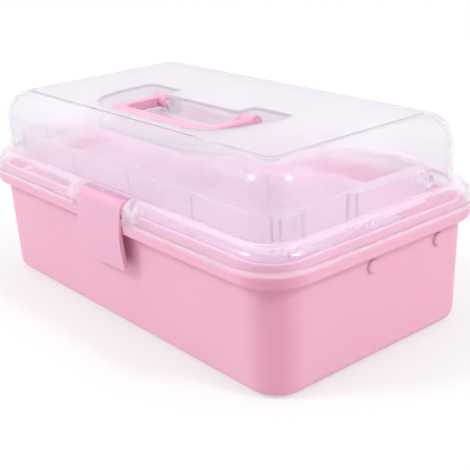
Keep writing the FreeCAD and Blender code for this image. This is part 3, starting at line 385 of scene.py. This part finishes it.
def see_through_plastic(name, tint, milk_tint, haze, rough, shadow_tint, peel_depth, haze_and_highlight_tint=None):
    """Clear or frosted plastic: refracting walls with milk in them, more of it seen edge on."""
    material, tree, shader = new_material(name)
    add_surface(tree, shader, drift_scale=14.0, peel_scale=500.0, rough=rough,
                peel_strength=0.3, peel_depth=peel_depth)
    shader.inputs["Base Color"].default_value = (*tint, 1.0)
    shader.inputs["IOR"].default_value = CLEAR_INDEX
    shader.inputs["Transmission Weight"].default_value = 1.0
    milk = tree.nodes.new("ShaderNodeBsdfPrincipled")
    milk.inputs["Base Color"].default_value = (*milk_tint, 1.0)
    milk.inputs["Roughness"].default_value = MILK_ROUGHNESS
    edge = tree.nodes.new("ShaderNodeLayerWeight")
    share = map_range(tree, edge.outputs["Facing"], (HAZE_FROM, 1.0), haze)
    # Painted highlight: whiter milk along the lid's low bead and crease, and partly round its ears
    if haze_and_highlight_tint:
        painted_highlight_place = haze_and_painted_highlight_mask(tree)
        share = mix(tree, "FLOAT", painted_highlight_place, share, HAZE_AND_HIGHLIGHT_SHARE)
        tone = mix(tree, "RGBA", painted_highlight_place, (*milk_tint, 1.0), (*haze_and_highlight_tint, 1.0))
        link(tree, tone, milk.inputs["Base Color"])
    cloudy = mix_shaders(tree, share, shader.outputs["BSDF"], milk.outputs["BSDF"])
    passing = tree.nodes.new("ShaderNodeBsdfTransparent")
    passing.inputs["Color"].default_value = (*shadow_tint, 1.0)
    path = tree.nodes.new("ShaderNodeLightPath")
    lit = mix_shaders(tree, path.outputs["Is Shadow Ray"], cloudy, passing.outputs["BSDF"])
    link(tree, lit, tree.nodes["Material Output"].inputs["Surface"])
    return material


def pin_steel(colours):
    """Bright drawn wire with fine dull drifts in it."""
    material, tree, shader = new_material("Drawn steel")
    add_surface(tree, shader, drift_scale=60.0, peel_scale=2500.0, rough=(0.25, 0.4),
                peel_strength=0.2, peel_depth=0.00003)
    shader.inputs["Base Color"].default_value = (*colours.steel, 1.0)
    shader.inputs["Metallic"].default_value = 1.0
    return material


def find_flats(shape):
    """Sorts the faces into stretches that lie in one plane, and lists each stretch's points."""
    flat_of = {}
    points = []
    for first in shape.faces:
        if first in flat_of:
            continue
        flat_of[first] = len(points)
        corners = set()
        waiting = [first]
        while waiting:
            face = waiting.pop()
            corners.update(face.verts)
            for other in (near for edge in face.edges for near in edge.link_faces):
                if other not in flat_of and other.normal.angle(first.normal, 0.0) < FLAT_ANGLE:
                    flat_of[other] = flat_of[first]
                    waiting.append(other)
        points.append([corner.co for corner in corners])
    return flat_of, points


def reach_from(edge, points):
    """How far a flat stretch runs, square to one of its edges, in millimetres."""
    start = edge.verts[0].co
    along = (edge.verts[1].co - start).normalized()
    return max((point - start).cross(along).length for point in points) / MM


def fan_of(face, corner, soft_edges):
    """The faces round a corner that can be reached from one of them over soft edges."""
    fan = [face]
    for near in fan:
        for edge in near.edges:
            if corner in edge.verts and edge in soft_edges:
                fan += [other for other in edge.link_faces if other not in fan]
    return fan


def corner_normals(shape):
    """The moulded surface's direction at each corner of each face, where the widest flat counts most."""
    flat_of, points = find_flats(shape)
    soft_edges = set()
    reach = {}
    for edge in shape.edges:
        if len(edge.link_faces) == 2 and edge.calc_face_angle() < SHARP_ANGLE:
            soft_edges.add(edge)
            for face in edge.link_faces:
                reach[edge, face] = reach_from(edge, points[flat_of[face]])
    normals = {}
    for corner in shape.verts:
        for first in corner.link_faces:
            if (first, corner) in normals:
                continue
            fan = fan_of(first, corner, soft_edges)
            reaches = {}
            facing = {}
            for face in fan:
                facing[flat_of[face]] = face.normal
                near = reaches.setdefault(flat_of[face], [])
                for edge in face.edges:
                    borders = len({flat_of[other] for other in edge.link_faces}) == 2
                    if borders and corner in edge.verts and edge in soft_edges:
                        near.append(reach[edge, face])
            total = Vector()
            for flat, near in reaches.items():
                share = min(near) * max(near) if near else LEAST_SHARE
                total += facing[flat] * share ** 2
            for face in fan:
                normals[face, corner] = total.normalized()
    return normals


def moulded_copy(name, label, body):
    """A welded stand-in for a solid, whose round stretches are shaded as rounds and flats as flats."""
    shape = bmesh.new()
    shape.from_mesh(nodes[name].data)
    bmesh.ops.remove_doubles(shape, verts=shape.verts, dist=WELD_DISTANCE)
    shape.normal_update()
    normals = corner_normals(shape)
    by_corner = [normals[face, loop.vert] for face in shape.faces for loop in face.loops]
    mesh = bpy.data.meshes.new(label)
    shape.to_mesh(mesh)
    shape.free()
    mesh.shade_smooth()
    mesh.normals_split_custom_set(by_corner)
    piece = bpy.data.objects.new(label, mesh)
    bpy.context.scene.collection.objects.link(piece)
    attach(piece, body)
    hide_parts(name)
    return piece


def paint(pieces, material):
    for piece in pieces:
        piece.data.materials.clear()
        piece.data.materials.append(material)


class TOOLBOX_OT_pink_parts(bpy.types.Operator):
    """Give the tub, handle, latch and end rivets their pink plastic"""
    bl_idname = "toolbox.pink_parts"
    bl_label = "Pink parts"

    def execute(self, context):
        pieces = [
            moulded_copy("base_tub", "tub_shell", "base"),
            moulded_copy("handle", "handle_bail", "handle"),
            moulded_copy("latch", "latch_plate", "latch"),
        ]
        pieces += [nodes[name] for name in PINK_NODES]
        paint(pieces, pink_plastic(context.scene.tool_box_colours))
        return {"FINISHED"}


class TOOLBOX_OT_clear_lid(bpy.types.Operator):
    """Give the lid its clear plastic"""
    bl_idname = "toolbox.clear_lid"
    bl_label = "Clear lid"

    def execute(self, context):
        colours = context.scene.tool_box_colours
        material = see_through_plastic(
            "Clear moulded plastic", colours.clear, colours.clear_milk,
            haze=(0.16, 0.50), rough=(0.08, 0.12), shadow_tint=(0.92, 0.89, 0.92),
            peel_depth=0.00001, haze_and_highlight_tint=colours.haze_and_highlight_milk)
        paint([moulded_copy("lid", "lid_shell", "lid")], material)
        return {"FINISHED"}


class TOOLBOX_OT_frosted_trays(bpy.types.Operator):
    """Give the trays, their arms and rivets their frosted plastic"""
    bl_idname = "toolbox.frosted_trays"
    bl_label = "Frosted trays"

    def execute(self, context):
        colours = context.scene.tool_box_colours
        material = see_through_plastic(
            "Frosted plastic", colours.frosted, colours.frosted_milk,
            haze=(0.11, 0.50), rough=(0.20, 0.26), shadow_tint=(0.95, 0.88, 0.94),
            peel_depth=0.00002)
        pieces = [
            moulded_copy("lower_tray", "lower_tray_shell", "lower_tray_body"),
            moulded_copy("upper_tray", "upper_tray_shell", "upper_tray_body"),
        ]
        pieces += [nodes[name] for name in TRAY_NODES]
        paint(pieces, material)
        return {"FINISHED"}


class TOOLBOX_OT_hinge_pins(bpy.types.Operator):
    """Give the rear hinge pins their drawn steel"""
    bl_idname = "toolbox.hinge_pins"
    bl_label = "Hinge pins"

    def execute(self, context):
        pieces = [nodes[name] for name in PIN_NODES]
        paint(pieces, pin_steel(context.scene.tool_box_colours))
        return {"FINISHED"}


def add_area_light(name, place, aim, size, power):
    data = bpy.data.lights.new(name, "AREA")
    data.shape = "DISK"
    data.size = size
    data.energy = power
    light = bpy.data.objects.new(name, data)
    light.location = place
    light.rotation_euler = (aim - place).to_track_quat("-Z", "Y").to_euler()
    bpy.context.scene.collection.objects.link(light)


def direction(turn, rise):
    """A unit vector towards a place round the box, turned from the front and raised."""
    level = math.cos(rise)
    return Vector((math.sin(turn) * level, -math.cos(turn) * level, math.sin(rise)))


def light_sky(tree, stage):
    """White air from horizon to zenith, dimmer at the near side and brighter at its two flanks."""
    near_side = direction(stage.azimuth, 0.0)
    flank_side = near_side.cross(Vector((0, 0, 1)))
    place, _, _, z = split_place(tree, "Generated")
    height = map_range(tree, z, (0.0, SKY_BAND), (stage.sky_low, stage.sky_high))
    along = compare_vectors(tree, "DOT_PRODUCT", place, near_side)
    shade = map_range(tree, along, (0.0, 1.0), (1.0, 1.0 - stage.sky_fall), "LINEAR")
    across = compare_vectors(tree, "DOT_PRODUCT", place, flank_side)
    flank = calculate(tree, "MULTIPLY", across, across)
    added = calculate(tree, "MULTIPLY_ADD", flank, stage.sky_sides, shade)
    background = tree.nodes["Background"]
    background.inputs["Color"].default_value = (1.0, 1.0, 1.0, 1.0)
    link(tree, calculate(tree, "MULTIPLY", height, added), background.inputs["Strength"])


class TOOLBOX_OT_stage(bpy.types.Operator):
    """Set the floor, the lights and the camera"""
    bl_idname = "toolbox.stage"
    bl_label = "Stage"

    def execute(self, context):
        scene = context.scene
        stage = scene.tool_box_stage
        bpy.ops.object.select_all(action="DESELECT")
        bpy.ops.mesh.primitive_plane_add(size=stage.floor_size, location=(0, 0, cad_low.z))
        floor = context.object
        floor.name = "studio_floor"
        material, tree, shader = new_material("Pale floor")
        shader.inputs["Base Color"].default_value = (*scene.tool_box_colours.floor, 1.0)
        shader.inputs["Roughness"].default_value = FLOOR_ROUGHNESS
        shader.inputs["Specular IOR Level"].default_value = FLOOR_GLOSS
        shader.inputs["Emission Color"].default_value = (1.0, 1.0, 1.0, 1.0)
        shader.inputs["Emission Strength"].default_value = stage.floor_glow
        floor.data.materials.append(material)

        world = bpy.data.worlds.new("Studio air")
        world.use_nodes = True
        light_sky(world.node_tree, stage)
        scene.world = world

        aim = Vector(stage.aim)
        for name, turn in zip(("left_softbox", "right_softbox"), stage.side_turn):
            toward = direction(turn, LAMP_ELEVATION)
            add_area_light(name, aim + toward * LAMP_DISTANCE, aim, LAMP_SIZE, stage.side_power)

        camera_data = bpy.data.cameras.new("Photo camera")
        camera_data.sensor_width = SENSOR_WIDTH
        camera_data.lens = stage.lens
        camera_data.shift_x, camera_data.shift_y = stage.shift
        camera = bpy.data.objects.new("photo_camera", camera_data)
        back = direction(stage.azimuth, stage.elevation)
        camera.location = aim + back * stage.distance
        camera.rotation_mode = "QUATERNION"
        upright = (-back).to_track_quat("-Z", "Y")
        camera.rotation_quaternion = upright @ Quaternion((0, 0, 1), stage.roll)
        scene.collection.objects.link(camera)
        scene.camera = camera

        scene.view_settings.view_transform = "Standard"
        scene.cycles.max_bounces = LIGHT_BOUNCES
        scene.cycles.transmission_bounces = LIGHT_BOUNCES
        scene.cycles.transparent_max_bounces = LIGHT_BOUNCES
        return {"FINISHED"}


class TOOLBOX_PT_panel(bpy.types.Panel):
    """Lists the steps that dress and stage the tool box"""
    bl_idname = "TOOLBOX_PT_panel"
    bl_label = "Clear Lid Tool Box"
    bl_space_type = "VIEW_3D"
    bl_region_type = "UI"
    bl_category = "Tool Box"

    def draw(self, context):
        layout = self.layout
        for operator in STEPS:
            layout.operator(operator.bl_idname)
        colours = context.scene.tool_box_colours
        for name in ("pink", "pink_deep", "corner_shade_pink", "pink_glow", "clear", "clear_milk",
                     "haze_and_highlight_milk", "frosted", "frosted_milk", "steel", "floor"):
            layout.prop(colours, name)
        stage = context.scene.tool_box_stage
        for name in ("azimuth", "elevation", "distance", "lens", "floor_glow", "sky_low", "sky_high",
                     "sky_fall", "sky_sides", "side_power", "side_turn"):
            layout.prop(stage, name)


STEPS = [
    TOOLBOX_OT_pink_parts,
    TOOLBOX_OT_clear_lid,
    TOOLBOX_OT_frosted_trays,
    TOOLBOX_OT_hinge_pins,
    TOOLBOX_OT_stage,
]

CLASSES = [ToolBoxColours, ToolBoxStage, *STEPS, TOOLBOX_PT_panel]


def register():
    for item in CLASSES:
        bpy.utils.register_class(item)
    bpy.types.Scene.tool_box_colours = bpy.props.PointerProperty(type=ToolBoxColours)
    bpy.types.Scene.tool_box_stage = bpy.props.PointerProperty(type=ToolBoxStage)


def unregister():
    del bpy.types.Scene.tool_box_stage
    del bpy.types.Scene.tool_box_colours
    for item in reversed(CLASSES):
        bpy.utils.unregister_class(item)


def main():
    register()
    bpy.ops.toolbox.pink_parts()
    bpy.ops.toolbox.clear_lid()
    bpy.ops.toolbox.frosted_trays()
    bpy.ops.toolbox.hinge_pins()
    bpy.ops.toolbox.stage()


if __name__ == "__main__":
    main()
